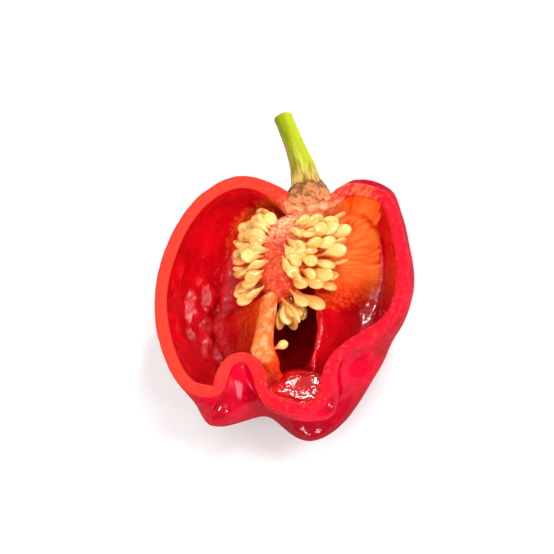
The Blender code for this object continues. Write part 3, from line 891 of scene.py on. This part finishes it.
def web_grid(top, foot, wall_tree):
    """A web as closed loops along Y: down one side from the rounded top edge and back up the other. It
    swells where it comes near the wall."""
    swell, reach = FILLET
    loops = []
    for step in range(WEB_STEPS + 1):
        y = WEB_START + (WEB_END - WEB_START) * step / WEB_STEPS
        x0, depth0, half0 = row_at(top, y)
        x1, depth1, half1 = row_at(foot, y)
        run = np.array([x1 - x0, 0.0, depth0 - depth1])
        length = np.linalg.norm(run)
        run /= length
        side = np.array([-run[2], 0.0, run[0]])
        start = np.array([x0, y, CUT_Z - cut_dip(x0, y) - depth0])
        middle, halves = [], []
        for row in range(WEB_ROWS + 1):
            down = (row / WEB_ROWS) ** 1.25
            point = start + run * down * length
            half = half0 + (half1 - half0) * min(1.0, down * 2.5)
            edge_round = min(1.0, down * length / half)
            near = wall_tree.find_nearest(Vector(point * METRES))[3] / METRES
            half = half * math.sqrt(1.0 - (1.0 - edge_round) ** 2) + swell * hill((near, reach))
            middle.append(point)
            halves.append(half)
        down_side = [point + side * half for point, half in zip(middle, halves)]
        up_side = [point - side * half for point, half in zip(middle, halves)][::-1]
        loops.append(down_side + up_side[:-1])
    return np.array(loops)


def trim(obj, cutter):
    """Keeps what lies inside the cutter."""
    modifier = obj.modifiers.new("trim", "BOOLEAN")
    modifier.operation = "INTERSECT"
    modifier.solver = "EXACT"
    modifier.use_self = True
    modifier.object = cutter
    mesh = bpy.data.meshes.new_from_object(obj.evaluated_get(bpy.context.evaluated_depsgraph_get()))
    obj.modifiers.clear()
    obj.data = mesh


def make_web(name, top, foot, wall_tree, flesh):
    """One web, which still reaches through the wall."""
    grid = web_grid(top, foot, wall_tree)
    grid = grid + grid_normals(grid) * relief(grid, WEB_RELIEF)[:, :, None]
    return make_lofted(name, grid, "flesh", [flesh])


def middle_of_wall():
    """A closed body out to the middle of the wall, which the webs are trimmed to."""
    edge, plain, inner_edge, inner_plain = edges(MIDDLE_STEPS)
    skin = bowl(edge, plain, BOWL_DEPTH, 1.0, 0.0, MIDDLE_RINGS, 0.0)
    inner = bowl(inner_edge, inner_plain, CUT_Z - WALL_BELOW, INSIDE_FORMS, 1.0, MIDDLE_RINGS, 0.0)
    middle = (skin + inner) / 2.0
    above = middle * (1.0, 1.0, -1.0) + (0.0, 0.0, 2.0 * CUT_Z + 1.0)
    return make_lofted("middle_of_wall", np.concatenate([middle[::-1], above]), None, [])


def make_webs(shell, flesh):
    """Both webs, each trimmed so that its foot ends inside the wall."""
    inside = tree_of(shell)
    left = make_web("web_left", LEFT_WEB_TOP, LEFT_WEB_FOOT, inside, flesh)
    right = make_web("web_right", RIGHT_WEB_TOP, RIGHT_WEB_FOOT, inside, flesh)
    middle = middle_of_wall()
    for web in (left, right):
        trim(web, middle)
        paint(web, "cut", np.zeros(len(web.data.vertices)))
        paint(web, "rim", np.zeros(len(web.data.vertices)))
    bpy.data.objects.remove(middle)
    return left, right


# Core


def core_point(share, turn, swell=0.0):
    """A point of the core's surface: share of its length from the stem, and bearing around it in degrees."""
    first, last = CORE[0][0], CORE[-1][0]
    y = first + (last - first) * share
    x, half_width, depth, half_depth = row_at(CORE, y)
    rounding = max(0.0, 1.0 - abs(2.0 * share - 1.0) ** 3.5) ** 0.5
    turn = math.radians(turn)
    side = (half_width * rounding + swell) * math.cos(turn)
    up = (half_depth * rounding + swell) * math.sin(turn)
    y += swell * (1.0 - 2.0 * share)
    return np.array([x + side, y, min(CUT_Z - depth + up, CUT_Z - CORE_TOP + swell * 4.0)])


def make_core(material):
    """The core, with a rough cut top and pits."""
    shares = (1.0 - np.cos(np.linspace(0.04, math.pi - 0.04, CORE_RINGS))) / 2.0
    bearings = [360.0 * step / CORE_SIDES for step in range(CORE_SIDES)]
    grid = np.array([[core_point(share, bearing) for bearing in bearings] for share in shares])
    grid = grid - grid_normals(grid) * relief(grid, CORE_RELIEF)[:, :, None]
    grid[:, :, 2] = np.minimum(grid[:, :, 2], CUT_Z + 0.1)
    core = make_lofted("core", grid, "seeds", [material])
    paint(core, "pale", smooth_step(points_of(core)[:, 1], 11.0, 18.0))
    return core


# Seeds


def seed_places(draw):
    """Root, outward direction, lean, flat side and stalk length of each seed, row by row along the core."""
    rows = [(*row, 0.0) for row in SEED_ROWS] + [(*row, HANG) for row in HANGING_ROWS]
    for turn, first, last, number, stalk, hang in [*rows, *FURTHER_ROWS]:
        for index in range(number):
            share = first + (last - first) * (index + draw.uniform(-0.25, 0.25)) / (number - 1)
            share = min(0.97, max(0.03, share))
            bearing = turn + draw.uniform(-9.0, 9.0)
            root = core_point(share, bearing)
            out = root - core_point(share, bearing, -1.0)
            out[1] = 0.0
            out[2] = min(out[2], SEED_RISE * abs(out[0]))
            out /= np.linalg.norm(out)
            lean = math.radians(SEED_FAN * (1.0 - 2.0 * share) - hang + draw.uniform(-12.0, 12.0))
            flat = np.array([draw.uniform(-0.6, 0.6), draw.uniform(-0.6, 0.6), 1.0])
            if hang > HANG:
                root[2] += FURTHER_LIFT
            yield root, out, lean, flat, stalk * draw.uniform(0.7, 1.2)


def seed_frame(direction, flat, roll=0.0):
    """Unit vectors along a seed, across it and out of its flat side, rolled by an angle in radians."""
    along = direction / np.linalg.norm(direction)
    thin = flat - along * (flat @ along)
    thin /= np.linalg.norm(thin)
    wide = np.cross(along, thin)
    cosine, sine = math.cos(roll), math.sin(roll)
    return along, wide * cosine + thin * sine, thin * cosine - wide * sine


def drop_width(share):
    """Half width of a drop from its narrow end at 0 to its round end at 1, as a share of the widest."""
    if share < SEED_WIDEST:
        return math.sin(max(0.0, share) / SEED_WIDEST * math.pi / 2.0) ** 1.3
    return math.sqrt(max(0.0, 1.0 - ((share - SEED_WIDEST) / (1.0 - SEED_WIDEST)) ** 2))


def seed_grid(root, direction, flat, stalk, size, curl=0.0, roll=0.0):
    """One seed as rings along it: a flattened drop, a little dished and curled, that narrows into its stalk.
    Also how near each point is to the seed's border and to its stalk."""
    along, wide, thin = seed_frame(direction, flat, roll)
    turn = np.arange(SEED_SIDES) / SEED_SIDES * 2.0 * math.pi
    length = stalk + SEED_LENGTH * size
    start = 0.5 * stalk - 0.3
    grid, border, neck = [], [], []
    for ring in range(SEED_RINGS):
        share = (1.0 - math.cos((ring + 0.4) / (SEED_RINGS - 0.2) * math.pi)) / 2.0
        far = share * (length + SEED_SUNK) - SEED_SUNK
        body = (far - start) / (length - start)
        drop = drop_width(body)
        stem = 1.0 - float(smooth_step(body, 0.1, 0.7))
        half_width = math.hypot(SEED_NECK * stem, SEED_WIDTH / 2.0 * size * drop)
        half_thick = math.hypot(SEED_NECK * stem, SEED_THICK / 2.0 * drop)
        dish = 1.0 - SEED_DISH * np.abs(np.sin(turn)) ** 5 * drop
        centre = root + along * far + thin * (curl * (far / length) ** 2 * length)
        sideways = np.outer(np.cos(turn) * half_width, wide)
        grid.append(centre + sideways + np.outer(np.sin(turn) * dish * half_thick, thin))
        # how near each point is to the seed's edge, where the material paints warm shade
        border.append(np.abs(np.cos(turn)) ** 4 * (1.0 - stem))
        neck.append(np.full(SEED_SIDES, 1.0 - float(smooth_step(far, 0.15 * stalk, 0.7 * stalk + 0.9))))
    return np.array(grid), np.concatenate(border), np.concatenate(neck)


def fits(tree, grid):
    """True if a seed keeps clear of the wall."""
    return all(
        tree.find_nearest(Vector(point))[3] > SEED_CLEARANCE * METRES
        for point in (grid.reshape(-1, 3)[::3] * METRES).tolist()
    )


def placed_seeds():
    """Grid, border and neck of each seed. Where the wall is in the way it leans less, or is left out."""
    tree = tree_of(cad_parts["fruit_wall"])
    shapes = random.Random(SHAPE_DRAW)
    for root, out, lean, flat, stalk in seed_places(random.Random(SEED_DRAW)):
        size = shapes.uniform(*SEED_SIZES)
        curl = shapes.uniform(*SEED_CURLS)
        roll = math.radians(shapes.uniform(-SEED_ROLL, SEED_ROLL))
        for ease in SEED_LEANS:
            direction = out * math.cos(lean * ease) + np.array([0.0, math.sin(lean * ease), 0.0])
            seed = seed_grid(root, direction, flat, stalk, size, curl, roll)
            if fits(tree, seed[0]):
                yield seed
                break
    yield seed_grid(*(np.array(vector) for vector in LEG_SEED), LEG_SEED_STALK, LEG_SEED_SIZE)


def make_seeds(material):
    """All the seeds in one piece."""
    shades = random.Random(SHADE_DRAW)
    points, faces, tints, borders, necks = [], [], [], [], []
    for grid, border, neck in placed_seeds():
        more, sides = loft(grid)
        faces.extend(tuple(corner + len(points) for corner in side) for side in sides)
        points.extend(more)
        tints.extend([shades.random()] * len(more))
        borders.extend([*border, 0.0, 0.0])
        necks.extend([*neck, 0.0, 0.0])
    seeds = make_mesh("seeds", np.array(points), faces, "seeds", [material])
    paint(seeds, "tint", tints)
    paint(seeds, "border", borders)
    paint(seeds, "stalk", necks)
    return seeds


# Stem


def stem_frame(far):
    """Centre, and unit vectors along, to the side and up, at a distance along the stem's axis."""
    axis = np.array(STEM_AXIS, float)
    axis[:, 2] = CUT_Z - axis[:, 2]
    reach = np.concatenate([[0.0], np.cumsum(np.linalg.norm(np.diff(axis, axis=0), axis=1))])
    here, ahead, back = (
        np.array([np.interp(far + more, reach, axis[:, column]) for column in range(3)])
        for more in (0.0, 2.0, -2.0)
    )
    along = (ahead - back) / np.linalg.norm(ahead - back)
    side = np.cross(along, (0.0, 0.0, 1.0))
    side /= np.linalg.norm(side)
    return here, along, side, np.cross(side, along)


def stem_ring(far, radius, turn):
    """A ring of points around the stem's axis."""
    here, _, side, up = stem_frame(far)
    return here + np.outer(np.cos(turn) * radius, side) + np.outer(np.sin(turn) * radius, up)


def stem_ribs(far, turn):
    """How much wider or narrower the ribs make the stalk at each bearing."""
    ribs = (share * np.cos(number * turn + start + twist * far) for share, number, start, twist in STEM_RIBS)
    return 1.0 + sum(ribs)


def make_stem(material):
    """The stalk: faintly ribbed, a little bent, with a rough cut end."""
    turn = np.arange(STEM_SIDES) / STEM_SIDES * 2.0 * math.pi
    grid, along_values = [], []
    for far in np.linspace(0.0, STEM_LENGTH, STEM_RINGS):
        radius = np.interp(far, *np.transpose(STEM_RADII))
        rib = stem_ribs(far, turn)
        grid.append(stem_ring(far, radius * rib, turn))
        along_values.append(np.full(STEM_SIDES, far))
    for share in STEM_CAP_SHARES:
        grid.append(stem_ring(STEM_LENGTH - STEM_CAP * (1.0 - share), radius * rib * share, turn))
        along_values.append(np.full(STEM_SIDES, STEM_LENGTH))
    grid = np.array(grid)
    ragged = smooth_step(np.array(along_values), STEM_LENGTH - STEM_END, STEM_LENGTH)
    lift = relief(grid, STEM_RELIEF) + ragged * relief(grid, STEM_END_RELIEF)
    grid = grid + lift[:, :, None] * stem_frame(STEM_END_FROM)[1]
    stem = make_lofted("stalk", grid, "stem", [material])
    paint_rings(stem, "along", along_values, (0.0, STEM_LENGTH))
    paint_rings(stem, "around", [np.minimum(turn, 2.0 * math.pi - turn) * STREAK_RADIUS] * len(grid))
    paint_rings(stem, "sideways", [np.cos(turn)] * len(grid))
    return stem


def calyx_dents(bearing):
    """How deep the cracks of the calyx are at each bearing around the stem, in degrees."""
    return sum(deep * hill((bearing_gap(bearing, centre), width)) for centre, width, deep in CALYX_CRACKS)


def calyx_top(turn):
    """How far along the stem the calyx's ragged rim reaches at each angle around it."""
    reach, jitter = CALYX_TEETH
    ragged = np.array([noise.noise(Vector((math.cos(a) * 6.0, math.sin(a) * 6.0, 8.0))) for a in turn])
    return CALYX_TOP + reach * np.abs(np.cos(4.5 * turn + 0.9)) ** 1.6 + jitter * ragged


def make_calyx(material):
    """The dry calyx: a lumpy collar, with a ragged rim that stands off the stalk, cracks and a loose flap."""
    bearing = np.arange(CALYX_SIDES) / CALYX_SIDES * 360.0
    turn = np.radians(bearing)
    top = calyx_top(turn)
    centre, width, height = CALYX_FLAP
    flap = height * hill((bearing_gap(bearing, centre), width))
    dents = calyx_dents(bearing)
    grid, rims, cracks, lows = [], [], [], []
    for share in np.arange(CALYX_RINGS) / (CALYX_RINGS - 1):
        outside = min(1.0, share / CALYX_OUTSIDE)
        behind = max(0.0, (share - CALYX_OUTSIDE) / (1.0 - CALYX_OUTSIDE))
        far = CALYX_START + (top - CALYX_START) * outside - behind * CALYX_BEHIND
        low = hill((far - CALYX_WIDEST, 1.6))
        radius = np.interp(far, *np.transpose(CALYX_RADII)) + flap * low - dents * (0.4 + 0.6 * low)
        radius = radius + CALYX_RIM * 0.6 * outside**4 - behind * (CALYX_RIM + 0.5)
        grid.append([stem_ring(*place)[0] for place in zip(far, radius[:, None], turn[:, None])])
        rims.append(np.clip(1.0 - (top - far) / 1.1, 0.0, 1.0) ** 1.5)
        # how deep each crack is, which the material turns into painted shade
        cracks.append(np.clip(dents * 1.2, 0.0, 1.0))
        lows.append(smooth_step(far, 4.6, 2.6))
    grid = np.array(grid)
    grid = grid - grid_normals(grid) * relief(grid, CALYX_RELIEF)[:, :, None]
    calyx = make_lofted("calyx", grid, "stem", [material])
    paint_rings(calyx, "rim", rims, (0.0, 1.0))
    paint_rings(calyx, "crack_shade", cracks, (0.0, 1.0))
    paint_rings(calyx, "low", lows, (1.0, 0.0))
    return calyx


# Masks of the flesh


def right_zone(x, y, depth):
    """Where the right chamber's wall and web are fibrous and orange, from 0 to 1."""
    return smooth_step(x + 0.15 * depth, 21.3, 18.7) * smooth_step(y - 0.5 * (x - 12.0), -1.5, 5.5)


def wall_orange(points, x, y, depth, web_trees):
    """How orange and how bright the wall is: beside the webs, and in the right chamber below its rim."""
    gap = np.min([distances(tree, points) for tree in web_trees], axis=0)
    right = smooth_step(x, 2.0, 8.0)
    beside = hill((gap, 1.5)) * smooth_step(y, -9.0, -2.0) * smooth_step(x, -18.5, -15.5) * (1.0 - right)
    below_rim = np.maximum(smooth_step(depth, 10.5, 13.5), smooth_step(y - 0.9 * (x - 14.0), 14.0, 18.0))
    orange = np.maximum(beside, right * right_zone(x, y, depth) * below_rim)
    return orange, right * smooth_step(y, 1.0, 10.0) + spot_share(x, y, ORANGE_SPOT)


def paint_flesh(obj, web_trees=()):
    """How orange and warm the flesh is at each point, how much painted shade darkens it deeper down, its
    height, and its place along the fibres of the core.
    """
    points = points_of(obj)
    x, y, z = points.T
    depth = CUT_Z - z
    front = np.zeros(len(points))
    if obj.name == "web_left":
        front = smooth_step(depth, 3.2, 1.6) * smooth_step(y, 4.0, 1.0)
        orange = smooth_step(y, -19.0, -15.5) * np.maximum(front, smooth_step(x, -17.0, -10.0))
        bright = front
    elif obj.name == "web_right":
        orange = right_zone(x, y, depth)
        bright = smooth_step(y, 3.0, 10.0)
    else:
        orange, bright = wall_orange(points, x, y, depth, web_trees)
    # painted shade: the spot low in the right chamber that is darkened
    shade = spot_share(x, y, SHADED_SPOT) * smooth_step(depth, 8.0, 12.0)
    across_x, across_y = x - FIBRES_FROM[0], y - FIBRES_FROM[1]
    masks = {
        "orange": np.clip(orange + 0.8 * spot_share(x, y, ORANGE_SPOT), 0.0, 1.0),
        "bright": np.clip(bright, 0.0, 1.0),
        "pale": np.maximum(1.6 * spot_share(x, y, PALE_SPOT), 0.6 * front),
        "creased": creased_share(x, y),
        # deep: painted shade, darker red deeper in the bowl and in the shaded spot
        "deep": np.maximum(smooth_step(depth, 8.0, 26.0) * 0.7, shade),
        "warm": smooth_step(-x + 0.4 * y, -12.0, 22.0),
        "around": np.arctan2(across_y, across_x) * FIBRE_RADIUS,
        "away": np.hypot(across_x, across_y),
        # height: the skin's material darkens with it lower down, as painted shade
        "height": z,
    }
    for name, values in masks.items():
        paint(obj, name, values)


# Studio


def make_camera():
    """The photograph's camera, with the pepper's length upright in the picture."""
    side, down = (math.tan(math.radians(angle)) for angle in CAMERA_TILT)
    back = Vector((side, -down, 1.0)).normalized()
    right = Vector((0.0, 1.0, 0.0)).cross(back).normalized()
    up = back.cross(right)
    eye = (Vector(CAMERA_AIM) + back * CAMERA_DISTANCE) * METRES
    camera = bpy.data.cameras.new("camera")
    camera.sensor_width = SENSOR
    camera.lens = camera.sensor_width * PIXELS_PER_MM * CAMERA_DISTANCE / IMAGE
    camera.clip_start = 0.01
    obj = put("camera", camera)
    obj.matrix_world = Matrix.Translation(eye) @ Matrix((right, up, back)).transposed().to_4x4()
    bpy.context.scene.camera = obj


def make_light(name, spot, size, watts):
    """A soft rectangular light that faces the pepper."""
    light = bpy.data.lights.new(name, "AREA")
    light.shape = "RECTANGLE"
    light.size, light.size_y = size
    light.energy = watts
    obj = put(name, light)
    obj.location = spot
    obj.rotation_euler = (Vector(LIGHT_AIM) - Vector(spot)).to_track_quat("-Z", "Y").to_euler()


def make_floor():
    """A plain pale floor."""
    material, tree, shader = make_material("floor", Roughness=0.6)
    shade = speckle(place(tree), 60.0, 2.0)
    finish_material(shader, blend(shade, colour("FAFAFA"), colour("F4F4F4")))
    corners = [(x, y, 0.0) for x, y in ((-FLOOR, -FLOOR), (FLOOR, -FLOOR), (FLOOR, FLOOR), (-FLOOR, FLOOR))]
    make_mesh("floor", corners, [(0, 1, 2, 3)], None, [material])


def make_surroundings():
    """Even white light from all round."""
    world = bpy.data.worlds.new("studio")
    world.use_nodes = True
    background = world.node_tree.nodes["Background"]
    background.inputs["Color"].default_value = (1.0, 1.0, 1.0, 1.0)
    background.inputs["Strength"].default_value = SURROUNDINGS
    bpy.context.scene.world = world
    bpy.context.scene.view_settings.view_transform = "Standard"


def main():
    make_camera()
    make_floor()
    for light in LIGHTS:
        make_light(*light)
    make_surroundings()
    flesh = flesh_material()
    shell = make_shell(skin_material(), flesh)
    webs = make_webs(shell, flesh)
    paint_flesh(shell, [tree_of(web) for web in webs])
    for web in webs:
        paint_flesh(web)
    core = make_core(core_material())
    make_seeds(seed_material())
    stem = make_stem(stem_material())
    make_calyx(calyx_material())
    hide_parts("fruit_wall")
    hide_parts("placenta_with_seeds")
    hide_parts("stem")


main()
